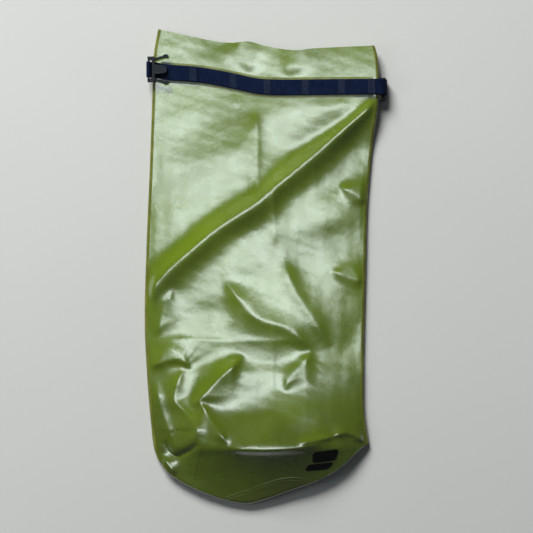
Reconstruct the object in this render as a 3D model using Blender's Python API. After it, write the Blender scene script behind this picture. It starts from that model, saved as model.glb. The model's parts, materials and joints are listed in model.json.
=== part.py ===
"""Roll-top dry bag of coated fabric, empty and lying on its back.

Metres, +Z up. The bag's mouth points to +Y and its round base to -Y. The origin is on the floor,
under the middle of the bag's box. Every soft wall is a thin sheet, so the bag is hollow and its
mouth is open. The webbing strap holds a male buckle half at its left end, folded back over the
front, and a female half at its right end, folded under the bag.
"""

import math

import bmesh
import bpy
import numpy as np
from mathutils import Vector

# Driving dimensions.
FABRIC = 0.0008             # thickness of the coated fabric
TAPE = 0.0005               # thickness of the seam tapes and the printed patch
EDGE_RADIUS = 0.0038        # half the thickness of the flat bag at its side edges
LEAST_GAP = 0.12            # front and back stay this part of EDGE_RADIUS off their middle plane
BASE_RADIUS = 0.1145        # round base panel: a 360 mm flat width makes a 229 mm disc
WEBBING_WIDTH = 0.0254
WEBBING = 0.0018            # thickness of the webbing
GAP = 0.0003                # clearance between pieces that touch
SPLIT_GAP = 0.0006          # clearance where two walls meet edge to edge
TAPE_ON_FRONT = 0.008       # how far a side seam's tape reaches onto the front
BAR_RADIUS = 0.0017         # the buckle bars that the webbing is folded round
LOOP = BAR_RADIUS + GAP + WEBBING / 2    # radius of the webbing's middle layer round a bar
LAYER = WEBBING + GAP       # rise from one layer of webbing to the next
BACKING_LIFT = 0.0009       # the strap's backing strip lies this far above the front
PATCH_GAP = 0.0007          # the seams' lower ends and the patch lie this far off the front
BASE_LIFT = 0.0016          # the back panel's height where the base panel lies under it
EDGE_LIFT = 0.0127          # the right edge's height over the female buckle half
LIFT_FROM_X = (0.050, 0.122)    # the right side rises to EDGE_LIFT between these
LIFT_ABOUT_BAR = (0.021, 0.050)     # and falls back to the floor this far up and down from it
BASE_SLOPE = (0.006, 0.030)     # the back comes down to the floor this far past the base panel
FOLD_HEIGHT = 0.012         # height of the diagonal fold's crest

# Places.
MALE_BAR = Vector((-0.1912, 0.3228, 0.0170))
FEMALE_BAR = Vector((0.1951, 0.2915, 0.0063))
FOLD_LEFT = Vector((-0.184, 0.3600))     # the line about which the mouth folds, in plan
FOLD_RIGHT = Vector((0.184, 0.3335))
BASE_MIDDLE_X = 0.005
BASE_ON_TOP = 0.030         # how much of the base panel lies past the bottom edge, on the front
BASE_STRAIGHTENS = 0.08     # its rows follow the bottom edge, and are straight from here on
BASE_RIM = 0.0015           # the panel's first and last rows are this far from its rim
BASE_ROWS_UNDER = 14
BASE_COLUMNS = 17

# The flat bag's outline. Each row is y, then x, from the mouth down.
LEFT_EDGE = (
    (0.3905, -0.1760), (0.355, -0.1825), (0.27, -0.186), (0.16, -0.190), (0.03, -0.1955),
    (-0.10, -0.1982), (-0.19, -0.1935), (-0.26, -0.1875), (-0.297, -0.183), (-0.315, -0.177),
)
RIGHT_EDGE = (
    (0.3620, 0.178), (0.345, 0.1825), (0.27, 0.184), (0.232, 0.1795), (0.18, 0.1735),
    (0.10, 0.167), (0.0, 0.1645), (-0.13, 0.1615), (-0.235, 0.1615), (-0.29, 0.169),
)
# The bottom edge, as x, then y.
BOTTOM_EDGE = (
    (-0.177, -0.315), (-0.162, -0.337), (-0.145, -0.350), (-0.121, -0.363), (-0.091, -0.376),
    (-0.031, -0.3900), (0.002, -0.382), (0.038, -0.369), (0.089, -0.350), (0.122, -0.331),
    (0.150, -0.305), (0.169, -0.290),
)
# How far the mouth's rim dips below the straight line between its corners, as x, then depth.
RIM_DIP = (
    (-0.180, 0.0), (-0.150, 0.004), (-0.058, 0.0135), (-0.027, 0.0095), (0.0, 0.0145),
    (0.047, 0.0185), (0.075, 0.0135), (0.125, 0.007), (0.180, 0.0),
)
# The strap's middle line, as x, then y.
STRAP_LINE = (
    (-0.200, 0.3230), (-0.186, 0.3228), (-0.157, 0.3185), (-0.124, 0.316), (-0.098, 0.313),
    (-0.070, 0.308), (-0.042, 0.302), (-0.016, 0.2963), (0.012, 0.2937), (0.060, 0.2932),
    (0.179, 0.2939), (0.205, 0.2939),
)
# Stretches of the webbing that lie on the front: start, end and step in x.
MALE_TAIL = (-0.111, -0.182, -0.006)
STRAP_SPAN = (-0.184, 0.1805, 0.006)
FEMALE_TAIL = (0.1805, 0.1575, -0.0055)
HELD_SPAN = (-0.179, 0.1795)        # past these the webbing keeps the height it has there
SECOND_LAYER = (0.142, 0.156)       # between these the strap climbs onto its own tail
# Height of the front above the edges' thickness, down the bag's middle, as y, then height.
BULGE = (
    (0.40, 0.0018), (0.30, 0.0028), (0.23, 0.007), (0.10, 0.012), (0.0, 0.014), (-0.10, 0.018),
    (-0.20, 0.028), (-0.262, 0.040), (-0.290, 0.043), (-0.305, 0.037), (-0.335, 0.021),
    (-0.365, 0.009), (-0.39, 0.002),
)
# The main fold's crest, from below the strap's right end down to the left edge.
DIAGONAL_FOLD = (
    (0.150, 0.248), (0.082, 0.183), (0.016, 0.129), (-0.074, 0.064), (-0.124, 0.022),
    (-0.165, -0.030),
)
# Heights of the walls' rows, down the bag's middle.
ROWS = (
    0.347, 0.334, 0.322, 0.312, 0.302, 0.292, 0.281, 0.270, 0.260, 0.250, 0.240, 0.222, 0.195,
    0.160, 0.125, 0.085, 0.040, -0.010, -0.060, -0.110, -0.155, -0.195, -0.225, -0.250, -0.275,
)
LOWER_ROWS = 6              # further rows from there to the bottom
COLUMNS = 15                # points across a wall between its round edges
EDGE_POINTS = 4             # points round each quarter of a round edge
SEAM_ROWS = 26              # rows that the side seams' tapes run along
SLOPE_ROW = 26              # the row at the top of the slope above the base
BACKING_SPAN = (-0.172, 0.176)
BACKING_WIDTH = 0.033
STITCH_BLOCKS = (-0.119, -0.0535, 0.0025, 0.0645, 0.1235, 0.1725)
STITCH_WIDTH = 0.010
STITCH_HEIGHT = 0.022

# The male half's outlines in millimetres from its bar's middle, prongs towards +X.
MALE_FRAME = (
    (-1.9, 21.0), (8.5, 21.0), (10.5, 19.0), (10.5, 8.2), (26.5, 6.6), (30.0, 4.0), (30.0, -4.0),
    (26.5, -6.6), (10.5, -8.2), (10.5, -19.0), (8.5, -21.0), (-1.9, -21.0), (-1.9, -14.8),
    (5.0, -14.8), (5.0, 14.8), (-1.9, 14.8),
)
MALE_ARM = (
    (10.8, 18.6), (17.0, 20.6), (22.0, 21.6), (25.0, 24.2), (29.0, 24.8), (32.0, 23.2),
    (33.2, 20.4), (31.0, 18.6), (26.0, 18.8), (20.0, 17.2), (10.8, 14.4),
)
MALE_THICKNESS = 0.0052
# The female half's outline from its bar's middle, its mouth towards the other side.
FEMALE_FRAME = (
    (-1.9, 18.5), (6.0, 18.5), (10.0, 21.0), (40.5, 21.0), (43.0, 19.5), (43.0, -19.5),
    (40.5, -21.0), (10.0, -21.0), (6.0, -18.5), (-1.9, -18.5), (-1.9, -15.4), (5.0, -15.4),
    (5.0, 15.4), (-1.9, 15.4),
)
FEMALE_THICKNESS = 0.0112
SOCKET_HALF_WIDTH = 0.0178
SOCKET_HALF_HEIGHT = 0.0036
SOCKET_BACK = 0.0085        # from the bar to the socket's closed end
WINDOW = (0.013, 0.029)     # the side windows' ends, from the bar


def clear_scene():
    for old in list(bpy.data.objects):
        bpy.data.objects.remove(old, do_unlink=True)


def material(name, colour, roughness):
    made = bpy.data.materials.get(name) or bpy.data.materials.new(name)
    made.use_nodes = True
    shader = made.node_tree.nodes["Principled BSDF"]
    shader.inputs["Base Color"].default_value = (*colour, 1.0)
    shader.inputs["Roughness"].default_value = roughness
    return made


def olive_fabric():
    return material("coated_fabric", (0.16, 0.20, 0.02), 0.35)


def olive_tape():
    return material("seam_tape", (0.13, 0.16, 0.02), 0.3)


def navy_webbing():
    return material("webbing", (0.012, 0.022, 0.06), 0.8)


def black_plastic():
    return material("buckle_plastic", (0.01, 0.011, 0.014), 0.4)


def curve(table, at):
    """A smooth curve through the table's points: a cubic Hermite."""
    keys, values = np.array(sorted(table)).T
    steps = np.diff(values) / np.diff(keys)
    slopes = np.concatenate([steps[:1], (steps[1:] + steps[:-1]) / 2, steps[-1:]])
    at = np.clip(at, keys[0], keys[-1])
    i = np.clip(np.searchsorted(keys, at, side="right") - 1, 0, len(keys) - 2)
    width = keys[i + 1] - keys[i]
    t = (at - keys[i]) / width
    return (
        values[i] * (1 + 2 * t) * (1 - t) ** 2
        + values[i + 1] * t * t * (3 - 2 * t)
        + width * t * (1 - t) * (slopes[i] * (1 - t) - slopes[i + 1] * t)
    )


def smooth(low, high, value):
    t = np.clip((value - low) / (high - low), 0, 1)
    return t * t * (3 - 2 * t)


def left_edge(y):
    return curve(LEFT_EDGE, y)


def right_edge(y):
    return curve(RIGHT_EDGE, y)


def bottom_edge(x):
    return curve(BOTTOM_EDGE, x)


def rim(x):
    (left_y, left_x), (right_y, right_x) = LEFT_EDGE[0], RIGHT_EDGE[0]
    part = np.clip((x - left_x) / (right_x - left_x), 0, 1)
    return left_y + (right_y - left_y) * part - curve(RIM_DIP, x)


def fold_line(x):
    part = (x - FOLD_LEFT.x) / (FOLD_RIGHT.x - FOLD_LEFT.x)
    return FOLD_LEFT.y + (FOLD_RIGHT.y - FOLD_LEFT.y) * part


def base_on_top(x):
    """How far the base panel reaches up the front from the bottom edge, at x."""
    away = np.clip(np.abs(x - BASE_MIDDLE_X) / BASE_RADIUS, 0, 1)
    return BASE_ON_TOP - BASE_RADIUS * (1 - np.sqrt(1 - away**2))


def away_from_fold(x, y):
    """Distance to the diagonal fold's crest, positive on its upper left side."""
    best = np.full(np.shape(x), 1e9)
    signed = np.zeros(np.shape(x))
    for (ax, ay), (bx, by) in zip(DIAGONAL_FOLD, DIAGONAL_FOLD[1:]):
        along = ((x - ax) * (bx - ax) + (y - ay) * (by - ay)) / ((bx - ax) ** 2 + (by - ay) ** 2)
        along = np.clip(along, 0, 1)
        away = np.hypot(x - ax - along * (bx - ax), y - ay - along * (by - ay))
        below = (bx - ax) * (y - ay) - (by - ay) * (x - ax) > 0
        signed = np.where(away < best, np.where(below, -away, away), signed)
        best = np.minimum(best, away)
    return signed


def floor_lift(x, y):
    """Height of the back's outer face: raised over the base panel and the female buckle half."""
    rear = bottom_edge(BASE_MIDDLE_X) + 2 * BASE_RADIUS - BASE_ON_TOP
    over_base = BASE_LIFT * (1 - smooth(rear + BASE_SLOPE[0], rear + BASE_SLOPE[1], y))
    reach = smooth(*LIFT_FROM_X, x) * (1 - smooth(*LIFT_ABOUT_BAR, np.abs(y - FEMALE_BAR.y)))
    return np.maximum(over_base, EDGE_LIFT * reach)


def bulge(x, y, across):
    """Height of the front above the thickness of the edges; across runs from -1 to 1."""
    away = away_from_fold(x, y)
    width = np.where(away > 0, 0.030, 0.016)
    crest = FOLD_HEIGHT * np.exp(-((away / width) ** 2)) * smooth(1.0, 0.75, np.abs(across))
    return curve(BULGE, y) * (1 - np.abs(across) ** 2.6) + crest * smooth(0.262, 0.225, y)


def rounding(distance):
    """Height factor of a round edge: 0 at the outline, 1 from one radius inwards."""
    inner = np.clip(1 - distance / EDGE_RADIUS, 0, 1)
    return np.sqrt(1 - inner**2)


def wall(x, y, front):
    """Height of the bag's outer face at (x, y)."""
    left, right = left_edge(y), right_edge(y)
    across = np.clip((2 * x - left - right) / (right - left), -1, 1)
    at_side = rounding(np.minimum(x - left, right - x))
    at_bottom = rounding(y - bottom_edge(x))
    corner = (1 - at_side) * (1 - at_bottom)
    factor = np.maximum(at_side * at_bottom, LEAST_GAP * (1 + 2 * corner))
    middle = floor_lift(x, y) + EDGE_RADIUS
    if front:
        return middle + (EDGE_RADIUS + bulge(x, y, across)) * factor
    return middle - EDGE_RADIUS * factor


def edge_steps(count):
    """Distances in from a round edge, at even angles round it, from the edge inwards."""
    angles = np.linspace(math.radians(87.5), 0, count)
    return (1 - np.sin(angles)) * EDGE_RADIUS


def row_of(line, count):
    """Points along the curve y = line(x) from side edge to side edge, crowded at both."""
    low, high = -0.18, 0.17
    for _ in range(12):
        low, high = left_edge(line(low)), right_edge(line(high))
    steps = edge_steps(EDGE_POINTS)
    inner = np.linspace(low + TAPE_ON_FRONT, high - TAPE_ON_FRONT, count)
    x = np.concatenate([low + steps, inner, (high - steps)[::-1]])
    return np.stack([x, line(x)], axis=1)


def outer_face(rows, front):
    rows = np.array(rows)
    x, y = rows[..., 0], rows[..., 1]
    return np.dstack([x, y, wall(x, y, front)])


def normals_of(grid):
    normal = np.cross(np.gradient(grid, axis=0), np.gradient(grid, axis=1))
    return normal / np.linalg.norm(normal, axis=2, keepdims=True)


def add_mesh(name, points, faces, look):
    mesh = bpy.data.meshes.new(name)
    mesh.from_pydata(np.asarray(points).tolist(), [], faces)
    work = bmesh.new()
    work.from_mesh(mesh)
    bmesh.ops.recalc_face_normals(work, faces=work.faces)
    work.to_mesh(mesh)
    work.free()
    mesh.materials.append(look)
    thing = bpy.data.objects.new(name, mesh)
    bpy.context.scene.collection.objects.link(thing)
    return thing


def sheet(name, grid, inwards, thickness, look):
    """A thin solid from inwards to inwards + thickness behind a grid of rows of points."""
    normal = normals_of(grid)
    rows, columns = grid.shape[:2]
    count = rows * columns
    index = np.arange(count).reshape(rows, columns).tolist()
    faces = []
    for r in range(rows - 1):
        for c in range(columns - 1):
            quad = (index[r][c], index[r][c + 1], index[r + 1][c + 1], index[r + 1][c])
            faces.append(quad)
            faces.append(tuple(count + i for i in reversed(quad)))
    border = index[0][:-1] + [row[-1] for row in index[:-1]]
    border += index[-1][:0:-1] + [row[0] for row in index[:0:-1]]
    for a, b in zip(border, border[1:] + border[:1]):
        faces.append((a, count + a, count + b, b))
    outer = (grid - inwards * normal).reshape(-1, 3)
    inner = (grid - (inwards + thickness) * normal).reshape(-1, 3)
    made = add_mesh(name, np.concatenate([outer, inner]), faces, look)
    made.data.shade_smooth()
    made.data.set_sharp_from_angle(angle=math.radians(40))
    return made


def front_bottom(x):
    """The front panel's lower end: the base panel's rim, or the bottom edge beside it."""
    return bottom_edge(x) + np.maximum(base_on_top(x) + SPLIT_GAP, 0)


def back_bottom(x):
    """The back panel's lower end: inside the round bottom edge where the base wraps it."""
    inside = smooth(-0.004, 0.004, base_on_top(x))
    return bottom_edge(x) + 1.6 * EDGE_RADIUS * inside


def between(start, end, share):
    return lambda x: start(x) * (1 - share) + end(x) * share


def wall_rows(bottom, count):
    """Rows of a long wall from the mouth's fold down to the bottom curve."""

    def top(x):
        return fold_line(x) - SPLIT_GAP / 2

    def level(x):
        return np.full(np.shape(x), ROWS[-1])

    def low(x):
        return bottom(x) + EDGE_RADIUS

    rows = [row_of(between(top, level, (ROWS[0] - y) / (ROWS[0] - ROWS[-1])), count) for y in ROWS]
    for number in range(1, LOWER_ROWS + 1):
        rows.append(row_of(between(level, low, number / LOWER_ROWS), count))
    for step in edge_steps(EDGE_POINTS)[-2::-1]:
        rows.append(row_of(lambda x, step=step: bottom(x) + step, count))
    return rows


def mouth_rows(count):
    """Rows of the mouth's wall, from the rim down to the fold."""

    def fold(x):
        return fold_line(x) + SPLIT_GAP / 2

    return [row_of(between(rim, fold, share), count) for share in (0.0, 0.22, 0.45, 0.72, 1.0)]


def seam_grid(front, back, left, rows):
    """The outer face round a side edge: from the front's first inner column onto the back."""
    reach = EDGE_POINTS + 1
    if left:
        return np.concatenate([back[rows, 1:2], front[rows, :reach]], axis=1)
    return np.concatenate([front[rows, -reach:], back[rows, -2:-1]], axis=1)


def add_side_seams(front, back, mouth_front, mouth_back):
    """The tapes that join front and back along the side edges, split where the mouth folds."""
    long_rows = slice(0, SEAM_ROWS)
    for side, left in (("left", True), ("right", False)):
        long_seam = seam_grid(front, back, left, long_rows)
        sheet(f"side_seam_{side}", long_seam, -(GAP + TAPE), TAPE, olive_tape())
        short_seam = seam_grid(mouth_front, mouth_back, left, slice(None))
        sheet(f"mouth_seam_{side}", short_seam, -(GAP + TAPE), TAPE, olive_tape())


def column_near(grid, x):
    """The column of the grid that is nearest to x on the slope above the base."""
    return int(np.abs(grid[SLOPE_ROW + 2, :, 0] - x).argmin())


def add_wall_patches(front):
    """The side seams' lower ends and the printed patch, on the front's slope above the base."""
    rise = PATCH_GAP + TAPE
    for side, x, rows in (("left", -0.131, 5), ("right", 0.118, 3)):
        column = column_near(front, x)
        tape = front[SLOPE_ROW : SLOPE_ROW + rows, column : column + 2]
        sheet(f"base_seam_{side}", tape, -rise, TAPE, olive_tape())
    column = column_near(front, 0.066)
    patch = front[SLOPE_ROW : SLOPE_ROW + 3, column : column + 3]
    patch = patch * 0.9 + patch.mean(axis=(0, 1)) * 0.1
    sheet("printed_patch", patch, -rise, TAPE, black_plastic())


def add_mouth_hems(mouth_front, mouth_back):
    """The turned-in hems inside the mouth's rim."""
    rows, columns = slice(0, 3), slice(EDGE_POINTS + 1, -EDGE_POINTS - 1)
    sheet("mouth_hem_front", mouth_front[rows, columns], FABRIC + GAP, TAPE, olive_tape())
    sheet("mouth_hem_back", mouth_back[rows, columns], -FABRIC - GAP, -TAPE, olive_tape())


def base_panel_row(reach, count):
    """Outer face of the base panel at a distance along it from its rim on the front."""
    half = math.sqrt(BASE_RADIUS**2 - (BASE_RADIUS - reach) ** 2)
    x = BASE_MIDDLE_X + np.linspace(-half, half, count)
    past = reach - BASE_ON_TOP
    straight = bottom_edge(BASE_MIDDLE_X)
    share = smooth(0.0, BASE_STRAIGHTENS, past)
    y = bottom_edge(x) * (1 - share) + straight * share + abs(past)
    if past < 0:
        return np.stack([x, y, wall(x, y, True)], axis=1)
    return np.stack([x, y, np.full(count, EDGE_RADIUS * (1 - rounding(past)))], axis=1)


def make_base():
    """The round base panel, bent round the bottom edge."""
    steps = edge_steps(EDGE_POINTS)
    reaches = [BASE_RIM, 0.008, 0.015, 0.021]
    reaches += [BASE_ON_TOP - step for step in steps[::-1]]
    reaches += [BASE_ON_TOP + step for step in steps]
    last = 2 * BASE_RADIUS - BASE_RIM
    reaches += list(np.linspace(BASE_ON_TOP + 0.012, last, BASE_ROWS_UNDER))
    grid = np.array([base_panel_row(reach, BASE_COLUMNS) for reach in reaches])
    sheet("base_panel", grid, 0, FABRIC, olive_fabric())


def webbing_points(x, layer):
    """Middle of the webbing at x and its rise per metre towards +Y, layer 0 on the backing."""
    y = curve(STRAP_LINE, x)
    half = WEBBING_WIDTH / 2
    held = float(np.clip(x, *HELD_SPAN))
    low, mid, high = (float(wall(held, y + part * half, True)) for part in (-1, 0, 1))
    height = max(mid, (low + high) / 2)
    height += BACKING_LIFT + TAPE + GAP + WEBBING / 2 + layer * LAYER
    return Vector((x, y, height)), (high - low) / (2 * half)


def loop_points(bar, steps, layer_y):
    """Points given in millimetres in the XZ plane, from the bar's middle, as places and rises."""
    return [(Vector((bar.x + x / 1000, layer_y, bar.z + z / 1000)), 0.0) for x, z in steps]


def arc(radius, start, end, turn, side):
    """Points in millimetres round a bar, at angles in degrees, over it or under it (side -1)."""
    angles = np.radians(range(start, end, turn))
    return [(radius * math.cos(angle), side * radius * math.sin(angle)) for angle in angles]


def webbing_path():
    """The webbing's middle: tail, loop round the male half's bar, strap, loop, tail."""
    radius = LOOP * 1000
    path = [webbing_points(x, 1) for x in np.arange(*MALE_TAIL)]
    tail = (path[-1][0].z - MALE_BAR.z) * 1000
    main = tail - LAYER * 1000
    loop = [(6.2, tail), (4.0, tail + 0.9), (radius, -1.4)]
    loop += arc(radius, 10, 181, 28, 1)
    loop += [(-radius, -1.6), (-radius + 0.4, main + 2.6), (-radius + 1.7, main + 0.8)]
    loop += [(1.2, main)]
    path += loop_points(MALE_BAR, loop, float(curve(STRAP_LINE, MALE_BAR.x)))
    for x in np.arange(*STRAP_SPAN):
        path.append(webbing_points(x, float(smooth(*SECOND_LAYER, x))))
    main = (path[-1][0].z - FEMALE_BAR.z) * 1000
    tail = main - LAYER * 1000
    loop = [(-7.5, main - 0.1), (-3.6, main - 1.3), (0.2, main - 4.2), (2.2, main - 8.2)]
    loop += [(radius, main - 12.0), (radius, 3.0)]
    loop += arc(radius, 0, 181, 30, -1)
    loop += [(-radius, 3.0), (-radius, tail - 9.0), (-radius - 0.7, tail - 5.0)]
    loop += [(-radius - 2.6, tail - 2.1), (-radius - 5.8, tail - 0.3)]
    path += loop_points(FEMALE_BAR, loop, float(curve(STRAP_LINE, FEMALE_BAR.x)))
    return path + [webbing_points(x, 0) for x in np.arange(*FEMALE_TAIL)]


def make_webbing():
    """One length of webbing, as a flat ribbon along its path."""
    path = webbing_path()
    centres = [place for place, _ in path]
    points = []
    for number, (centre, rise) in enumerate(path):
        before, after = centres[max(number - 1, 0)], centres[min(number + 1, len(path) - 1)]
        across = Vector((0, 1, rise))
        normal = (after - before).cross(across).normalized() * (WEBBING / 2)
        across *= WEBBING_WIDTH / 2
        points += [centre - across - normal, centre + across - normal]
        points += [centre + across + normal, centre - across + normal]
    faces = [(3, 2, 1, 0), tuple(range(len(points) - 4, len(points)))]
    for start in range(0, len(points) - 4, 4):
        for corner in range(4):
            ahead = (corner + 1) % 4
            faces.append((start + corner, start + ahead, start + 4 + ahead, start + 4 + corner))
    add_mesh("webbing_strap", points, faces, navy_webbing())


def surface_strip(low, high, columns, half_width, rise, rows):
    """A strip of points along the strap's line, a given height above the front."""
    grid = []
    for part in np.linspace(1, -1, rows):
        x = np.linspace(low, high, columns)
        y = curve(STRAP_LINE, x) + part * half_width
        grid.append(np.stack([x, y, wall(x, y, True) + rise], axis=1))
    return np.array(grid)


def make_strap_backing():
    grid = surface_strip(*BACKING_SPAN, 47, BACKING_WIDTH / 2, BACKING_LIFT + TAPE, 4)
    sheet("strap_backing", grid, 0, TAPE, olive_tape())


def make_stitch_blocks():
    """The blocks of zigzag stitching, as thin plates on the strap's face."""
    for number, x in enumerate(STITCH_BLOCKS, 1):
        layer = 1 if x < -0.11 or x > 0.156 else 0
        middle, rise = webbing_points(x, layer)
        ahead = webbing_points(x + STITCH_WIDTH / 2, layer)[0] - middle
        grid = []
        for part in (STITCH_HEIGHT / 2, -STITCH_HEIGHT / 2):
            row = []
            for side in (-1, 1):
                offset = side * ahead + Vector((0, part, part * rise))
                row.append(middle + offset + Vector((0, 0, WEBBING / 2 + 2 * GAP + TAPE)))
            grid.append(row)
        sheet(f"stitch_block_{number}", np.array(grid), 0, TAPE, navy_webbing())


def extruded(name, outline, thickness, bar, mirror_x, mirror_y, bevel):
    """A plate with the outline, centred on the bar's height, with rounded edges."""
    points = []
    for x, y in outline:
        points.append((x / 1000 * mirror_x, y / 1000 * mirror_y, -thickness / 2))
    count = len(points)
    points += [(x, y, thickness / 2) for x, y, _ in points]
    faces = [tuple(range(count)), tuple(range(2 * count - 1, count - 1, -1))]
    for corner in range(count):
        ahead = (corner + 1) % count
        faces.append((corner, ahead, count + ahead, count + corner))
    plate = add_mesh(name, points, faces, black_plastic())
    plate.location = bar
    rounder = plate.modifiers.new("round_edges", "BEVEL")
    rounder.width = bevel
    rounder.segments = 2
    rounder.limit_method = "ANGLE"
    rounder.angle_limit = math.radians(50)
    return plate


def hidden_tool(tool):
    tool.hide_render = True
    tool.display_type = "WIRE"
    return tool


def add_bar(frame, bar, length):
    """Joins the round bar, parallel to Y, to a buckle half's frame."""
    bpy.ops.mesh.primitive_cylinder_add(vertices=20, radius=BAR_RADIUS, depth=length)
    rod = hidden_tool(bpy.context.object)
    rod.name = frame.name + "_bar_tool"
    rod.rotation_euler = (math.radians(90), 0, 0)
    rod.location = bar
    joint = frame.modifiers.new("bar", "BOOLEAN")
    joint.operation = "UNION"
    joint.object = rod


def cut_box(body, low, high, name):
    """Cuts the box between two corners, given from the bar's middle, out of the body."""
    bpy.ops.mesh.primitive_cube_add(size=1)
    tool = hidden_tool(bpy.context.object)
    tool.name = name + "_tool"
    low, high = Vector(low), Vector(high)
    tool.scale = high - low
    tool.location = body.location + (low + high) / 2
    cut = body.modifiers.new(name, "BOOLEAN")
    cut.operation = "DIFFERENCE"
    cut.object = tool


def make_male_half():
    frame = extruded("buckle_male_frame", MALE_FRAME, MALE_THICKNESS, MALE_BAR, 1, 1, 0.0007)
    add_bar(frame, MALE_BAR, 0.0310)
    for name, side in (("upper", 1), ("lower", -1)):
        label = f"buckle_male_arm_{name}"
        extruded(label, MALE_ARM, MALE_THICKNESS - 2 * GAP, MALE_BAR, 1, side, 0.0006)


def make_female_half():
    body = extruded(
        "buckle_female_body", FEMALE_FRAME, FEMALE_THICKNESS, FEMALE_BAR, -1, 1, 0.0009
    )
    add_bar(body, FEMALE_BAR, 0.0322)
    wide, high = SOCKET_HALF_WIDTH, SOCKET_HALF_HEIGHT
    cut_box(body, (-0.050, -wide, -high), (-SOCKET_BACK, wide, high), "socket")
    cut_box(body, (-WINDOW[1], -0.030, -high), (-WINDOW[0], 0.030, high), "windows")


def main():
    clear_scene()
    front = outer_face(wall_rows(front_bottom, COLUMNS), True)
    back = outer_face(wall_rows(back_bottom, COLUMNS), False)
    mouth_front = outer_face(mouth_rows(COLUMNS), True)
    mouth_back = outer_face(mouth_rows(COLUMNS), False)
    sheet("front_panel", front, 0, FABRIC, olive_fabric())
    sheet("back_panel", back, 0, -FABRIC, olive_fabric())
    sheet("mouth_front", mouth_front, 0, FABRIC, olive_fabric())
    sheet("mouth_back", mouth_back, 0, -FABRIC, olive_fabric())
    add_side_seams(front, back, mouth_front, mouth_back)
    add_mouth_hems(mouth_front, mouth_back)
    add_wall_patches(front)
    make_base()
    make_webbing()
    make_strap_backing()
    make_stitch_blocks()
    make_male_half()
    make_female_half()


main()
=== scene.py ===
"""Looks of a roll-top dry bag of coated fabric, empty and lying on its back.

Metres, +Z up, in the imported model's own frame. The bag's mouth points to +Y and its round base
to -Y. The soft pieces are thin shells over one height function of the bag's outer faces, so that
the tapes, the strap and the patch lie on the same folds as the fabric under them.
"""

import json
import math

import bmesh
import bpy
import numpy as np
from mathutils import Matrix, Vector


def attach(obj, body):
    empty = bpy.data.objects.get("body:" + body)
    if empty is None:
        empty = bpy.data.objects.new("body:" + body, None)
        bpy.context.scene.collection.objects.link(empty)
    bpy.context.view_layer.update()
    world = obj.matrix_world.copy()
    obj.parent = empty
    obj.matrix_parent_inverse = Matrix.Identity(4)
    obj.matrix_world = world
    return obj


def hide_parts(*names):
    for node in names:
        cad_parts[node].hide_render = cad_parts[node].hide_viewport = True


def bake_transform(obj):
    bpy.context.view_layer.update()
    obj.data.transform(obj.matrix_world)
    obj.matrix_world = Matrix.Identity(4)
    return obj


# Thicknesses and clearances.
FABRIC = 0.0007
TAPE = 0.0003
EDGE_RADIUS = 0.0038        # half the thickness of the flat bag at its side edges
LEAST_GAP = 0.12            # front and back stay this part of EDGE_RADIUS off their middle plane
BASE_RADIUS = 0.1145
WEBBING_WIDTH = 0.0254
WEBBING = 0.0018
GAP = 0.0003
TAPE_ON_FRONT = 0.0048      # how far a side seam's tape reaches onto the front
LAYER_GAP = 0.0002          # between two layers of fabric or tape
BAR_RADIUS = 0.0017         # the buckle bars that the webbing is folded round
BACKING = 0.0006            # thickness of the strap's backing strip
BACKING_LIFT = 0.0009       # height of that strip's top over the front
STRAP_LIFT = 0.0008         # the webbing's underside lies this far above the strip's top
SEAM_END_LIFT = 0.00045     # height of the side seams' lower ends over the front
PRINT_LIFT = 0.0004         # height of the printed block over the front
PRINT = 0.0002              # and its thickness
WELD_LIFT = 0.00035         # height of the weld's dashes over one layer of fabric on the front
THREAD_LIFT = 0.00016       # height of the stitches over the strap
BASE_LIFT = 0.0016          # the back panel's height where the base panel lies under it
EDGE_LIFT = 0.0127          # the right edge's height over the female buckle half
DEEPEST_DENT = 0.6          # the front sinks at most this part of EDGE_RADIUS
LOOP = BAR_RADIUS + GAP + WEBBING / 2    # radius of the webbing's middle layer round a bar
LAYER = WEBBING + GAP       # rise from one layer of webbing to the next
STITCH_BLOCKS = (-0.119, -0.0535, 0.0025, 0.0645, 0.1235, 0.1725)    # each block's x
STITCH_WIDTH = 0.0096
STITCH_HEIGHT = 0.022
STITCH_LINES = 7
ZIGZAG = 0.00042            # how far a stitch swings to either side of its line
ZIGZAG_POINTS = 27
THREAD_RADIUS = 0.00022
WELD_RADIUS = 0.00025
THREAD_SIDES = 5
BACKING_SPAN = (-0.172, 0.176)
BACKING_WIDTH = 0.033
BACKING_CORNER = 0.004      # radius of the strip's corners
RIB = 0.0012                # pitch and height of the webbing's ribs
RIB_HEIGHT = 0.00007
POINTS_PER_RIB = 4

# Places.
FOLD_LEFT = Vector((-0.184, 0.3600))     # the line about which the mouth folds, in plan
FOLD_RIGHT = Vector((0.184, 0.3335))
BASE_MIDDLE_X = 0.005
BASE_ON_TOP = 0.030         # how much of the base panel lies past the bottom edge, on the front
BASE_OVERLAP = 0.004        # the front panel ends this far below the base panel's rim
BASE_STRAIGHTENS = 0.080    # the base panel's rows lose the bottom edge's curve over this length
BACK_INSET = 1.6 * EDGE_RADIUS          # the back panel ends this far inside the bottom edge
LOWEST_LEVEL = -0.275       # the one level row: the rows above it turn towards the mouth's slant,
                            # and those below it towards the bottom edge's curve

# The back rises over the base panel and over the female buckle half. It comes down again between
# these distances: past the base panel, then above and below the buckle. Across, it rises between
# these two places.
BASE_LIFT_FADE = (0.006, 0.030)
LIFT_FADE_ABOVE = (0.021, 0.220)
LIFT_FADE_BELOW = (0.021, 0.105)
LIFT_ACROSS = (-0.06, 0.130)

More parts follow.
